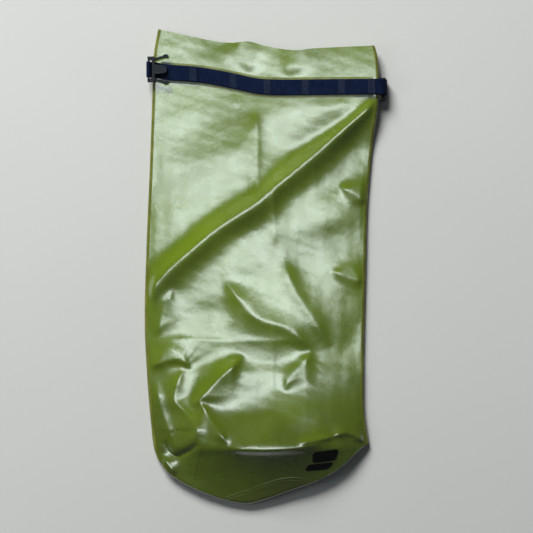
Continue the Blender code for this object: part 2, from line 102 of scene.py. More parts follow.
# Grid steps of the skins.
COLUMNS = 146
EDGE_POINTS = 7             # points round each side edge, and rows round the bottom edge
EDGE_TURN = 87.5            # degrees that they go round it: its last bit is too steep for a height
MOUTH_ROWS = 24
WALL_ROWS = 230
BOTTOM_ROWS = 46
HEM_ROWS = 9                # rows that the turned-in hem reaches down inside the mouth's rim

# The flat bag's outline. Each row is y, then x, from the mouth down.
LEFT_EDGE = (
    (0.3905, -0.1760), (0.355, -0.1825), (0.27, -0.186), (0.16, -0.190), (0.03, -0.1955),
    (-0.10, -0.1982), (-0.19, -0.1935), (-0.26, -0.1875), (-0.297, -0.183), (-0.315, -0.177),
)
RIGHT_EDGE = (
    (0.3620, 0.178), (0.345, 0.1825), (0.27, 0.184), (0.232, 0.1795), (0.18, 0.1735),
    (0.10, 0.167), (0.0, 0.1645), (-0.13, 0.1615), (-0.235, 0.1615), (-0.29, 0.169),
)
# The bottom edge, as x, then y.
BOTTOM_EDGE = (
    (-0.177, -0.315), (-0.162, -0.337), (-0.145, -0.350), (-0.121, -0.363), (-0.091, -0.376),
    (-0.031, -0.3900), (0.002, -0.382), (0.038, -0.369), (0.089, -0.350), (0.122, -0.331),
    (0.150, -0.305), (0.169, -0.290),
)
# How far the mouth's rim dips below the straight line between its corners, as x, then depth.
RIM_DIP = (
    (-0.180, 0.0), (-0.150, 0.004), (-0.058, 0.0135), (-0.027, 0.0095), (0.0, 0.0145),
    (0.047, 0.0185), (0.075, 0.0135), (0.125, 0.007), (0.180, 0.0),
)
# The strap's middle line, as x, then y.
STRAP_LINE = (
    (-0.200, 0.3230), (-0.186, 0.3228), (-0.157, 0.3185), (-0.124, 0.316), (-0.098, 0.313),
    (-0.070, 0.308), (-0.042, 0.302), (-0.016, 0.2963), (0.012, 0.2937), (0.060, 0.2932),
    (0.179, 0.2939), (0.205, 0.2939),
)
# Stretches of the webbing that lie on the front: start, end and step in x.
MALE_TAIL = (-0.111, -0.182, -0.006)
STRAP_SPAN = (-0.184, 0.1805, 0.006)
FEMALE_TAIL = (0.1805, 0.1575, -0.0055)
HELD_SPAN = (-0.179, 0.1795)        # past these the webbing keeps the height it has there
SECOND_LAYER = (0.142, 0.156)       # between these the strap climbs onto its own tail
# Height of the front above the edges' thickness, down the bag's middle, as y, then height.
BULGE = (
    (0.40, 0.0018), (0.30, 0.0028), (0.23, 0.007), (0.10, 0.012), (0.0, 0.014), (-0.10, 0.0152),
    (-0.155, 0.0160), (-0.182, 0.0182), (-0.21, 0.0232), (-0.25, 0.0338), (-0.275, 0.0405),
    (-0.289, 0.0438), (-0.296, 0.0432), (-0.306, 0.037), (-0.335, 0.021), (-0.365, 0.009),
    (-0.39, 0.002),
)
# The main fold's crest, from below the strap's right end down to the left edge.
DIAGONAL_FOLD = (
    (0.178, 0.268), (0.130, 0.224), (0.081, 0.183), (0.015, 0.129), (-0.012, 0.105),
    (-0.075, 0.064), (-0.124, 0.024), (-0.157, -0.005), (-0.186, -0.036),
)
FOLD_HEIGHT = 0.0125
FOLD_UPPER_WIDTH = 0.0155
FOLD_LOWER_WIDTH = 0.0220
FOLD_CREST = 0.0012         # roundness of its crest
FOLD_PEAK = 1.60            # 2 is a bell; less than that is a narrower crest with wider feet
FOLD_START = 0.40           # its upper end has this part of its full width and height
FOLD_WIDENS = 0.13          # it reaches its full width and height this far along the crest
FOLD_RISES = 0.12
FOLD_TOP = (0.290, 0.262)   # it fades in between these two y
FOLD_SIDE = 0.90            # it sinks from this part of the way out to a side edge
# BULGE is moved down the bag by SLOPE_LATEST on its left. To the right of SLOPE_TURN_X the move
# shrinks by SLOPE_SLANT per metre to SLOPE_EARLIEST, which is a move up. It fades in and out
# between the two y of each pair.
SLOPE_LATEST = 0.022
SLOPE_EARLIEST = -0.012
SLOPE_SLANT = 0.45
SLOPE_TURN_X = -0.01
SLOPE_BOTTOM = (-0.280, -0.230)
SLOPE_TOP = (-0.08, -0.14)
SIDE_FALL = 1.7             # power of the front's fall from its middle to the side edges
DETAIL_SIDE = 0.93          # small folds sink from this part of the way out to a side edge
CLEAR_OF_STRAP = (0.0135, 0.036)        # and rise between these distances from the strap's middle

# The smaller folds: height, the widths of their left and right sides as one walks along the
# crest, how round the crest is, and the crest's points.
CREASES = (
    # the curl above the base's left corner: its gentle upper arm and its steep lower one
    (0.0055, 0.050, 0.010, 0.0020, ((-0.195, -0.166), (-0.170, -0.156), (-0.145, -0.151),
                                    (-0.128, -0.158), (-0.122, -0.170))),
    (0.0070, 0.017, 0.018, 0.0020, ((-0.131, -0.152), (-0.137, -0.172), (-0.144, -0.191),
                                    (-0.149, -0.217), (-0.140, -0.228), (-0.125, -0.243),
                                    (-0.112, -0.264), (-0.120, -0.284), (-0.131, -0.298))),
    # the two arms of the fold beside it
    (0.0110, 0.036, 0.014, 0.0022, ((-0.034, -0.143), (-0.041, -0.150), (-0.075, -0.182),
                                    (-0.109, -0.217), (-0.125, -0.232))),
    (0.0070, 0.009, 0.028, 0.0020, ((-0.112, -0.212), (-0.101, -0.230), (-0.080, -0.261),
                                    (-0.059, -0.290))),
    # the long fold through the middle and its foot
    (0.0066, 0.028, 0.019, 0.0060, ((-0.070, -0.015), (-0.042, -0.054), (-0.012, -0.084),
                                    (0.032, -0.099), (0.069, -0.129), (0.078, -0.146))),
    (0.0042, 0.030, 0.012, 0.0045, ((0.074, -0.133), (0.068, -0.150), (0.045, -0.172),
                                    (0.029, -0.206))),
    # the fold to the right of it
    (0.0042, 0.015, 0.022, 0.0060, ((0.029, 0.023), (0.033, 0.000), (0.043, -0.030),
                                    (0.070, -0.074), (0.097, -0.117), (0.108, -0.132))),
    # by the left edge
    (0.0038, 0.014, 0.014, 0.0040, ((-0.181, -0.185), (-0.173, -0.225), (-0.161, -0.262),
                                    (-0.150, -0.290))),
    (0.0040, 0.040, 0.012, 0.0060, ((-0.150, -0.033), (-0.165, -0.070), (-0.179, -0.118))),
    # the faint straight creases down the bag and across it
    (0.0036, 0.0100, 0.060, 0.0045, ((-0.015, 0.262), (-0.016, 0.230), (-0.015, 0.180),
                                    (-0.014, 0.106))),
    (0.0016, 0.020, 0.007, 0.0030, ((0.012, 0.133), (0.013, 0.090), (0.014, 0.029))),
    (0.0011, 0.012, 0.006, 0.0020, ((0.011, -0.066), (0.011, -0.150), (0.011, -0.284))),
    (0.0009, 0.005, 0.016, 0.0016, ((-0.198, -0.123), (-0.140, -0.118), (-0.060, -0.121),
                                    (0.083, -0.120))),
    # by the right edge
    (0.0045, 0.035, 0.012, 0.0050, ((0.118, 0.133), (0.147, 0.120), (0.172, 0.101))),
    (0.0035, 0.032, 0.011, 0.0050, ((0.105, -0.005), (0.138, -0.017), (0.170, -0.026))),
    # the lip over the base and the small folds at its right end
    (0.0042, 0.022, 0.0070, 0.0016, ((-0.075, -0.290), (-0.030, -0.296), (0.020, -0.295),
                                     (0.060, -0.291), (0.100, -0.286))),
    (0.0040, 0.011, 0.005, 0.0016, ((0.050, -0.285), (0.080, -0.281), (0.115, -0.275))),
    (0.0050, 0.014, 0.006, 0.0016, ((0.104, -0.277), (0.134, -0.271), (0.166, -0.289))),
    # the crumpled left corner
    (-0.0050, 0.006, 0.006, 0.0012, ((-0.168, -0.280), (-0.147, -0.310), (-0.105, -0.286))),
    (0.0050, 0.010, 0.008, 0.0016, ((-0.172, -0.306), (-0.160, -0.323), (-0.145, -0.342))),
    # the soft folds that hang from the mouth's rim
    (0.0024, 0.024, 0.018, 0.0100, ((-0.042, 0.393), (-0.033, 0.350), (-0.022, 0.305))),
    (0.0028, 0.018, 0.028, 0.0100, ((0.064, 0.385), (0.048, 0.340), (0.029, 0.295))),
    (-0.0024, 0.022, 0.022, 0.0080, ((-0.120, 0.400), (-0.080, 0.375), (-0.040, 0.372))),
)
CREASE_RUN_OUT = 0.24       # each end of a fold sinks over this part of its length
CREASE_TAPER = 0.014        # and over at least this much
CREASE_FAN = 1.2            # and over more of it away from the crest, by this per metre
CREASE_REACH = 5            # a fold is left out past this many widths

# Broad hollows and swells of the front: x, y, the two radii, their angle in degrees, height.
SWELLS = (
    (-0.120, 0.220, 0.040, 0.025, 30, -0.0012), (-0.070, 0.170, 0.050, 0.030, 20, 0.0010),
    (0.080, 0.235, 0.060, 0.022, 35, 0.0012), (0.105, 0.080, 0.050, 0.040, 40, 0.0034),
    (0.060, 0.020, 0.030, 0.040, 0, -0.0015), (-0.030, 0.010, 0.050, 0.030, 35, 0.0020),
    (-0.090, -0.075, 0.045, 0.020, 10, -0.0014), (-0.020, -0.180, 0.034, 0.030, 0, 0.0020),
    (0.055, -0.285, 0.060, 0.050, 0, 0.0030), (-0.160, -0.250, 0.020, 0.040, 0, -0.0020),
    (0.120, -0.060, 0.035, 0.060, 0, 0.0015), (-0.150, 0.080, 0.030, 0.050, -20, 0.0012),
    (0.100, -0.262, 0.042, 0.060, 5, 0.0032), (0.140, -0.120, 0.016, 0.030, -20, -0.0016),
    (-0.152, -0.138, 0.034, 0.026, 0, 0.0030), (0.112, 0.048, 0.030, 0.026, 20, -0.0018),
)

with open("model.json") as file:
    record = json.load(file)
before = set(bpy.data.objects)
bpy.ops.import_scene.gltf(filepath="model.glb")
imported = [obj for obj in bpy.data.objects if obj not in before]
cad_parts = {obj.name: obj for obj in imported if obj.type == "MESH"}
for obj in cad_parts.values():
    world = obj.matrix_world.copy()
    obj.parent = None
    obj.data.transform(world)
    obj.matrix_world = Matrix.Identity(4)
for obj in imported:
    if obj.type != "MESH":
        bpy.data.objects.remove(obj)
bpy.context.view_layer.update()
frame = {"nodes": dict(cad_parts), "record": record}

# The buckle bars lie on the axes on which the buckle halves turn.
JOINTS = {joint["name"]: joint for joint in frame["record"]["behaviour"]["joints"]}
MALE_BAR = Vector(JOINTS["male_swing"]["pos_m"])
FEMALE_BAR = Vector(JOINTS["female_swing"]["pos_m"])


def curve(table, at):
    """A smooth curve through the table's points: a cubic Hermite."""
    keys, values = np.array(sorted(table)).T
    steps = np.diff(values) / np.diff(keys)
    slopes = np.concatenate([steps[:1], (steps[1:] + steps[:-1]) / 2, steps[-1:]])
    at = np.clip(at, keys[0], keys[-1])
    i = np.clip(np.searchsorted(keys, at, side="right") - 1, 0, len(keys) - 2)
    width = keys[i + 1] - keys[i]
    t = (at - keys[i]) / width
    return (
        values[i] * (1 + 2 * t) * (1 - t) ** 2
        + values[i + 1] * t * t * (3 - 2 * t)
        + width * t * (1 - t) * (slopes[i] * (1 - t) - slopes[i + 1] * t)
    )


def spline(points, spacing):
    """Points about this far apart along a Catmull-Rom curve through the given points."""
    points = np.asarray(points, float)
    padded = np.concatenate([[2 * points[0] - points[1]], points, [2 * points[-1] - points[-2]]])
    made = []
    for a, b, c, d in zip(padded, padded[1:], padded[2:], padded[3:]):
        count = max(1, round(float(np.linalg.norm(c - b)) / spacing))
        t = (np.arange(count) / count)[:, None]
        made.append(
            0.5 * (2 * b + (c - a) * t + (2 * a - 5 * b + 4 * c - d) * t**2
                   + (3 * b - a - 3 * c + d) * t**3)
        )
    return np.concatenate([*made, points[-1:]])


def smooth(low, high, value):
    """0 at low and before, 1 at high and past it, and a smooth rise between; low may be above high."""
    t = np.clip((value - low) / (high - low), 0, 1)
    return t * t * (3 - 2 * t)


def left_edge(y):
    return curve(LEFT_EDGE, y)


def right_edge(y):
    return curve(RIGHT_EDGE, y)


def bottom_edge(x):
    return curve(BOTTOM_EDGE, x)


def rim(x):
    (left_y, left_x), (right_y, right_x) = LEFT_EDGE[0], RIGHT_EDGE[0]
    part = np.clip((x - left_x) / (right_x - left_x), 0, 1)
    return left_y + (right_y - left_y) * part - curve(RIM_DIP, x)


def fold_line(x):
    part = (x - FOLD_LEFT.x) / (FOLD_RIGHT.x - FOLD_LEFT.x)
    return FOLD_LEFT.y + (FOLD_RIGHT.y - FOLD_LEFT.y) * part


def base_on_top(x):
    """How far the base panel reaches up the front from the bottom edge, at x."""
    away = np.clip(np.abs(x - BASE_MIDDLE_X) / BASE_RADIUS, 0, 1)
    return BASE_ON_TOP - BASE_RADIUS * (1 - np.sqrt(1 - away**2))


def beside_path(x, y, points):
    """Distance to a path, positive on its left, and the place along the path that is nearest."""
    best = np.full(np.shape(x), 1e9)
    signed = np.zeros(np.shape(x))
    place = np.zeros(np.shape(x))
    start = 0.0
    for (ax, ay), (bx, by) in zip(points, points[1:]):
        length = math.hypot(bx - ax, by - ay)
        along = np.clip(((x - ax) * (bx - ax) + (y - ay) * (by - ay)) / length**2, 0, 1)
        away = np.hypot(x - ax - along * (bx - ax), y - ay - along * (by - ay))
        on_left = (bx - ax) * (y - ay) - (by - ay) * (x - ax) > 0
        nearer = away < best
        signed = np.where(nearer, np.where(on_left, away, -away), signed)
        place = np.where(nearer, start + along * length, place)
        best = np.minimum(best, away)
        start += length
    return signed, place, start


def crease_height(x, y, height, left, right, crest, points):
    """Height of one small fold. Its crest runs out at both ends."""
    reach = CREASE_REACH * max(left, right)
    points = np.array(points)
    low, high = points.min(axis=0) - reach, points.max(axis=0) + reach
    near = (x > low[0]) & (x < high[0]) & (y > low[1]) & (y < high[1])
    made = np.zeros(np.shape(x))
    if not near.any():
        return made
    path = spline(points, 0.006)
    signed, place, length = beside_path(x[near], y[near], path)
    spread = np.sqrt(signed**2 + crest**2) - crest
    width = np.where(signed > 0, left, right)
    taper = max(CREASE_TAPER, CREASE_RUN_OUT * length) + CREASE_FAN * np.abs(signed)
    ends = smooth(0, taper, place) * smooth(0, taper, length - place)
    made[near] = height * ends * np.exp(-spread / width)
    return made


def swell_height(x, y, middle_x, middle_y, long, short, angle, height):
    turn = math.radians(angle)
    along = (x - middle_x) * math.cos(turn) + (y - middle_y) * math.sin(turn)
    across = (y - middle_y) * math.cos(turn) - (x - middle_x) * math.sin(turn)
    return height * np.exp(-((along / long) ** 2) - (across / short) ** 2)


def ripple(x, y):
    """The faint unevenness of the coated fabric."""
    return (
        0.00022 * np.sin(61 * x + 23 * y + 1.0) * np.sin(17 * x - 47 * y)
        + 0.00014 * np.sin(112 * x - 64 * y + 2.0) * np.sin(73 * x + 98 * y + 0.5)
        + 0.00007 * np.sin(205 * x + 151 * y) * np.sin(180 * y - 96 * x + 1.3)
    )


def floor_lift(x, y):
    """Height of the back's outer face: raised over the base panel and the female buckle half."""
    rear = bottom_edge(BASE_MIDDLE_X) + 2 * BASE_RADIUS - BASE_ON_TOP
    over_base = BASE_LIFT * (1 - smooth(rear + BASE_LIFT_FADE[0], rear + BASE_LIFT_FADE[1], y))
    above = y - FEMALE_BAR.y
    beyond = np.where(above > 0, smooth(*LIFT_FADE_ABOVE, above), smooth(*LIFT_FADE_BELOW, -above))
    reach = smooth(*LIFT_ACROSS, x) * (1 - beyond)
    return np.maximum(over_base, EDGE_LIFT * reach)


def diagonal_fold(x, y, across):
    """Height of the main fold, which starts small below the strap's right end."""
    signed, place, _ = beside_path(x, y, spline(DIAGONAL_FOLD, 0.012))
    width = np.where(signed > 0, FOLD_LOWER_WIDTH, FOLD_UPPER_WIDTH)
    width = width * (FOLD_START + (1 - FOLD_START) * smooth(0, FOLD_WIDENS, place))
    away = np.sqrt(signed**2 + FOLD_CREST**2) - FOLD_CREST
    crest = FOLD_HEIGHT * np.exp(-((away / width) ** FOLD_PEAK)) * smooth(*FOLD_TOP, y)
    growth = FOLD_START + (1 - FOLD_START) * smooth(0, FOLD_RISES, place)
    return crest * (growth * smooth(1.0, FOLD_SIDE, np.abs(across)))


def small_detail(x, y, across):
    """Height of the small folds, swells and ripples. It is flat under the strap."""
    detail = sum(crease_height(x, y, *crease) for crease in CREASES)
    detail = detail + sum(swell_height(x, y, *swell) for swell in SWELLS) + ripple(x, y)
    clear_of_strap = smooth(*CLEAR_OF_STRAP, np.abs(y - curve(STRAP_LINE, x)))
    return detail * smooth(1.0, DETAIL_SIDE, np.abs(across)) * clear_of_strap


def bulge(x, y, across):
    """Height of the front above the thickness of the edges; across runs from -1 to 1."""
    move = SLOPE_LATEST - SLOPE_SLANT * (x - SLOPE_TURN_X)
    move = np.clip(move, SLOPE_EARLIEST, SLOPE_LATEST)
    move = move * smooth(*SLOPE_BOTTOM, y) * smooth(*SLOPE_TOP, y)
    broad = curve(BULGE, y + move) * (1 - np.abs(across) ** SIDE_FALL)
    return broad + diagonal_fold(x, y, across) + small_detail(x, y, across)


def rounding(distance):
    """Height factor of a round edge: 0 at the outline, 1 from one radius inwards."""
    inner = np.clip(1 - distance / EDGE_RADIUS, 0, 1)
    return np.sqrt(1 - inner**2)


def wall(x, y, front):
    """Height of the bag's outer face at (x, y)."""
    x, y = np.asarray(x, float), np.asarray(y, float)
    left, right = left_edge(y), right_edge(y)
    across = np.clip((2 * x - left - right) / (right - left), -1, 1)
    at_side = rounding(np.minimum(x - left, right - x))
    at_bottom = rounding(y - bottom_edge(x))
    corner = (1 - at_side) * (1 - at_bottom)
    factor = np.maximum(at_side * at_bottom, LEAST_GAP * (1 + 2 * corner))
    middle = floor_lift(x, y) + EDGE_RADIUS
    if front:
        swell = np.maximum(bulge(x, y, across), -DEEPEST_DENT * EDGE_RADIUS)
        return middle + (EDGE_RADIUS + swell) * factor
    return middle - EDGE_RADIUS * factor


def edge_steps(count):
    """Distances in from a round edge, at even angles round it, from the edge inwards."""
    angles = np.linspace(math.radians(EDGE_TURN), 0, count)
    return (1 - np.sin(angles)) * EDGE_RADIUS


def row_of(line):
    """Points along the curve y = line(x) from side edge to side edge, crowded at both."""
    # An edge's x depends on y there, and y on x, so both ends are settled in a few rounds.
    low, high = -0.18, 0.17
    for _ in range(12):
        low, high = left_edge(line(low)), right_edge(line(high))
    steps = edge_steps(EDGE_POINTS)
    inner = np.linspace(low + TAPE_ON_FRONT, high - TAPE_ON_FRONT, COLUMNS)
    x = np.concatenate([low + steps, inner, (high - steps)[::-1]])
    return np.stack([x, line(x)], axis=1)


def outer_face(rows, front):
    rows = np.array(rows)
    x, y = rows[..., 0], rows[..., 1]
    return np.dstack([x, y, wall(x, y, front)])


def normals_of(grid):
    normal = np.cross(np.gradient(grid, axis=0), np.gradient(grid, axis=1))
    return normal / np.linalg.norm(normal, axis=2, keepdims=True)


def add_mesh(name, points, faces, look, plan=None):
    """A smooth mesh piece. Its UVs are the points' places on the flat cloth, in metres."""
    points = np.asarray(points)
    mesh = bpy.data.meshes.new(name)
    mesh.from_pydata(points.tolist(), [], faces)
    work = bmesh.new()
    work.from_mesh(mesh)
    bmesh.ops.recalc_face_normals(work, faces=work.faces)
    work.to_mesh(mesh)
    work.free()
    mesh.materials.append(look)
    plan = points[:, :2] if plan is None else np.asarray(plan)
    corners = np.empty(len(mesh.loops), np.int32)
    mesh.loops.foreach_get("vertex_index", corners)
    layer = mesh.uv_layers.new(name="cloth")
    layer.data.foreach_set("uv", plan[corners].astype(np.float32).reshape(-1))
    mesh.shade_smooth()
    mesh.set_sharp_from_angle(angle=math.radians(50))
    thing = bpy.data.objects.new(name, mesh)
    bpy.context.scene.collection.objects.link(thing)
    return thing


def sheet_data(grid, inwards, thickness):
    """Points and faces of a thin solid behind a grid of rows of points."""
    normal = normals_of(grid)
    rows, columns = grid.shape[:2]
    count = rows * columns
    index = np.arange(count).reshape(rows, columns)
    quads = np.stack(
        [index[:-1, :-1], index[:-1, 1:], index[1:, 1:], index[1:, :-1]], axis=-1
    ).reshape(-1, 4)
    faces = quads.tolist() + (count + quads[:, ::-1]).tolist()
    index = index.tolist()
    border = index[0][:-1] + [row[-1] for row in index[:-1]]
    border += index[-1][:0:-1] + [row[0] for row in index[:0:-1]]
    for a, b in zip(border, border[1:] + border[:1]):
        faces.append((a, count + a, count + b, b))
    outer = (grid - inwards * normal).reshape(-1, 3)
    inner = (grid - (inwards + thickness) * normal).reshape(-1, 3)
    return np.concatenate([outer, inner]), faces


def sheet(name, grid, inwards, thickness, look):
    points, faces = sheet_data(grid, inwards, thickness)
    plan = np.tile(grid.reshape(-1, 3)[:, :2], (2, 1))
    return add_mesh(name, points, faces, look, plan)


def between(start, end, share):
    return lambda x: start(x) * (1 - share) + end(x) * share


def front_bottom(x):
    """The front panel's lower end: the base panel's rim, or the bottom edge beside it."""
    return bottom_edge(x) + np.maximum(base_on_top(x) - BASE_OVERLAP, 0)


def back_bottom(x):
    """The back panel's lower end: inside the round bottom edge where the base wraps it."""
    wrapped = smooth(-0.004, 0.004, base_on_top(x))
    return bottom_edge(x) + BACK_INSET * wrapped


def skin_rows(bottom):
    """Rows of a whole wall from the mouth's rim down to the bottom curve."""

    def level(x):
        return np.full(np.shape(x), LOWEST_LEVEL)

    def low(x):
        return bottom(x) + EDGE_RADIUS

    rows = []
    for share in np.linspace(0, 1, MOUTH_ROWS, endpoint=False):
        rows.append(row_of(between(rim, fold_line, share)))
    for share in np.linspace(0, 1, WALL_ROWS, endpoint=False):
        rows.append(row_of(between(fold_line, level, share)))
    for share in np.linspace(0, 1, BOTTOM_ROWS, endpoint=False):
        rows.append(row_of(between(level, low, share)))
    for step in edge_steps(EDGE_POINTS)[::-1]:
        rows.append(row_of(lambda x, step=step: bottom(x) + step))
    return rows


# Materials.

COATING_IOR = 1.65          # of the fabric's skin and of the clear coat over it
WEAVE_PITCH = 0.0009


class Look:
    """A Principled material and short ways to add nodes to it."""

    def __init__(self, name, roughness, specular=0.5, coat=0.0, coat_roughness=0.2, sheen=0.0):
        self.material = bpy.data.materials.new(name)
        self.material.use_nodes = True
        self.tree = self.material.node_tree
        self.shader = self.tree.nodes["Principled BSDF"]
        self.put(self.shader, "Roughness", roughness)
        self.put(self.shader, "Specular IOR Level", specular)
        self.put(self.shader, "Coat Weight", coat)
        self.put(self.shader, "Coat Roughness", coat_roughness)
        self.put(self.shader, "Sheen Weight", sheen)

    def put(self, node, socket, value):
        """Sets a socket to a value, or links an output to it."""
        if isinstance(value, bpy.types.NodeSocket):
            self.tree.links.new(value, node.inputs[socket])
        else:
            node.inputs[socket].default_value = value

    def node(self, kind, settings=(), **sockets):
        made = self.tree.nodes.new(kind)
        for name, value in settings:
            setattr(made, name, value)
        for socket, value in sockets.items():
            self.put(made, socket.replace("_", " "), value)
        return made

    def cloth_place(self, scale=(1, 1, 1)):
        """Places on the flat cloth, in metres times the scale."""
        uv = self.node("ShaderNodeUVMap", [("uv_map", "cloth")])
        mapping = self.node("ShaderNodeMapping", Vector=uv.outputs[0], Scale=scale)
        return mapping.outputs[0]

    def object_place(self, scale=(1, 1, 1)):
        place = self.node("ShaderNodeTexCoord").outputs["Object"]
        return self.node("ShaderNodeMapping", Vector=place, Scale=scale).outputs[0]

    def noise(self, place, scale, detail=3.0, rough=0.5):
        made = self.node(
            "ShaderNodeTexNoise", Vector=place, Scale=scale, Detail=detail, Roughness=rough
        )
        return made.outputs["Fac"]

    def spread(self, value, low, high, new_low=0.0, new_high=1.0):
        """Maps a value's range onto another, held at the ends."""
        made = self.node("ShaderNodeMapRange", Value=value)
        for socket, number in zip(("From Min", "From Max", "To Min", "To Max"),
                                  (low, high, new_low, new_high)):
            self.put(made, socket, number)
        return made.outputs[0]

    def maths(self, operation, a, b=0.0):
        made = self.node("ShaderNodeMath", [("operation", operation)])
        self.put(made, 0, a)
        self.put(made, 1, b)
        return made.outputs[0]

    def mix(self, share, a, b):
        made = self.node("ShaderNodeMix", [("data_type", "RGBA")])
        self.put(made, "Factor", share)
        self.put(made, 6, a)
        self.put(made, 7, b)
        return made.outputs[2]

    def bump(self, height, strength, distance, under=None):
        made = self.node("ShaderNodeBump", Height=height, Strength=strength, Distance=distance)
        if under is not None:
            self.put(made, "Normal", under)
        return made.outputs[0]

    def finish(self, colour, roughness=None, normal=None):
        self.put(self.shader, "Base Color", colour)
        if roughness is not None:
            self.put(self.shader, "Roughness", roughness)
        if normal is not None:
            self.put(self.shader, "Normal", normal)
            self.put(self.shader, "Coat Normal", normal)
        return self.material


def colour(red, green, blue):
    return (red, green, blue, 1.0)


def weave(look, pitch):
    """Height of a plain weave: two crossed sets of round threads."""
    turns = math.pi / pitch
    place = look.cloth_place((turns, turns, turns))
    parts = look.node("ShaderNodeSeparateXYZ", Vector=place)
    across = look.maths("ABSOLUTE", look.maths("SINE", parts.outputs[0]))
    along = look.maths("ABSOLUTE", look.maths("SINE", parts.outputs[1]))
    return look.maths("MAXIMUM", across, along)


def thread_streaks(look):
    """Fine streaks along both sets of the cloth's threads."""
    threads = look.noise(look.cloth_place((40, 900, 1)), 1, 2)
    cross_threads = look.noise(look.cloth_place((900, 40, 1)), 1, 2)
    both = look.maths("ADD", look.maths("MULTIPLY", threads, 0.5),
                      look.maths("MULTIPLY", cross_threads, 0.5))
    return look.spread(both, 0.42, 0.62, 0.0, 0.22)


def painted_base_shade(look, place):
    """Patchy painted shade, which grows from y = -0.15 m to -0.27 m, towards the base."""
    down = look.node("ShaderNodeSeparateXYZ", Vector=place).outputs[1]
    patches = look.spread(look.noise(place, 14, 4), 0.25, 0.60, 0.35, 0.75)
    return look.maths("MULTIPLY", look.spread(down, -0.15, -0.27), patches)


def scuffs_on(look, place):
    """Thin scuffs: the edges of cells 10 to 17 mm across, kept in some patches only."""
    even = look.cloth_place((60, 60, 60))
    longer = look.node("ShaderNodeMapping", Vector=even, Scale=(1, 1.7, 1)).outputs[0]
    cells = look.node("ShaderNodeTexVoronoi", [("feature", "DISTANCE_TO_EDGE")],
                      Vector=longer, Scale=1.0, Randomness=1.0).outputs["Distance"]
    patches = look.spread(look.noise(place, 30, 2), 0.56, 0.66)
    return look.maths("MULTIPLY", look.spread(cells, 0.0, 0.012, 1.0, 0.0), patches)


def coated_fabric(name, light, deep, roughness):
    """Coated cloth: a weave under a satin skin, uneven, scuffed and finely creased, with patchy painted
    shade towards the base.
    """
    look = Look(name, roughness, specular=1.0, coat=1.0, coat_roughness=0.225)
    look.put(look.shader, "IOR", COATING_IOR)
    look.put(look.shader, "Coat IOR", COATING_IOR)
    place = look.cloth_place()
    base = look.mix(look.spread(look.noise(place, 9, 4), 0.35, 0.68), deep, light)
    base = look.mix(thread_streaks(look), base, colour(0.185, 0.275, 0.014))
    # Painted shade: darker patches from the middle of the bag down to the base.
    base = look.mix(painted_base_shade(look, place), base, colour(0.070, 0.098, 0.003))
    scuffs = scuffs_on(look, place)
    base = look.mix(look.maths("MULTIPLY", scuffs, 0.35), base, colour(0.06, 0.09, 0.004))
    gloss = look.spread(look.noise(place, 26, 5, 0.6), 0.3, 0.75, roughness - 0.05, roughness + 0.07)
    normal = look.bump(look.noise(place, 70, 5, 0.62), 0.28, 0.0012)
    normal = look.bump(scuffs, 0.15, 0.0002, normal)
    normal = look.bump(weave(look, WEAVE_PITCH), 0.16, 0.00012, normal)
    return look.finish(base, gloss, normal)


def webbing_look():
    """Navy webbing, dry and slightly frosted, with fine streaks across it."""
    look = Look("webbing", 0.72, specular=0.07)
    ribs = look.noise(look.cloth_place((1500, 60, 1)), 1, 3, 0.6)
    blocks = look.noise(look.cloth_place((40, 40, 40)), 1, 2)
    base = look.mix(
        look.spread(ribs, 0.45, 0.72), colour(0.003, 0.007, 0.026), colour(0.014, 0.027, 0.074)
    )
    base = look.mix(look.spread(blocks, 0.4, 0.7, 0.0, 0.5), base, colour(0.008, 0.015, 0.042))
    normal = look.bump(ribs, 0.6, 0.0004)
    return look.finish(base, look.spread(ribs, 0.3, 0.7, 0.55, 0.75), normal)


def thread_look():
    look = Look("thread", 0.55, specular=0.4, sheen=0.2)
    fibres = look.noise(look.object_place((900, 900, 900)), 1, 2)
    base = look.mix(fibres, colour(0.018, 0.030, 0.070), colour(0.075, 0.105, 0.165))
    return look.finish(base, None, look.bump(fibres, 0.4, 0.0002))


def weld_look():
    look = Look("weld", 0.5, specular=0.4)
    shade = look.noise(look.object_place(), 400, 2)
    base = look.mix(shade, colour(0.16, 0.20, 0.03), colour(0.26, 0.32, 0.08))
    return look.finish(base, None, look.bump(shade, 0.3, 0.0003))


def tape_look():
    """The seam tape: smoother and browner than the fabric."""
    look = Look("seam_tape", 0.34, specular=0.5, coat=0.15)
    place = look.cloth_place()
    base = look.mix(
        look.spread(look.noise(place, 40, 4), 0.35, 0.7),
        colour(0.115, 0.135, 0.012), colour(0.200, 0.225, 0.030),
    )
    rough = look.spread(look.noise(place, 90, 3), 0.3, 0.7, 0.3, 0.45)
    return look.finish(base, rough, look.bump(look.noise(place, 220, 4), 0.3, 0.0005))


def plastic_look():
    """Moulded nylon: near-black, fine-grained, scuffed."""
    look = Look("buckle_plastic", 0.45, specular=0.3)
    place = look.object_place()
    grain = look.noise(place, 1800, 2)
    scuffs = look.noise(place, 160, 5, 0.65)
    base = look.mix(
        look.spread(scuffs, 0.5, 0.8), colour(0.006, 0.008, 0.016), colour(0.028, 0.034, 0.055)
    )
    rough = look.spread(scuffs, 0.3, 0.75, 0.36, 0.56)
    return look.finish(base, rough, look.bump(grain, 0.25, 0.0002))


def print_look():
    """The plain black printed block."""
    look = Look("print_black", 0.3, specular=0.5)
    place = look.cloth_place()
    worn = look.noise(place, 120, 5, 0.6)
    base = look.mix(
        look.spread(worn, 0.62, 0.75), colour(0.004, 0.005, 0.003), colour(0.03, 0.04, 0.008)
    )
    return look.finish(base, look.spread(worn, 0.3, 0.7, 0.26, 0.4), look.bump(worn, 0.2, 0.0004))


def floor_look():
    look = Look("floor", 0.7, specular=0.2)
    tone = look.noise(look.object_place(), 3, 2)
    base = look.mix(tone, colour(0.68, 0.69, 0.68), colour(0.72, 0.73, 0.72))
    return look.finish(base)


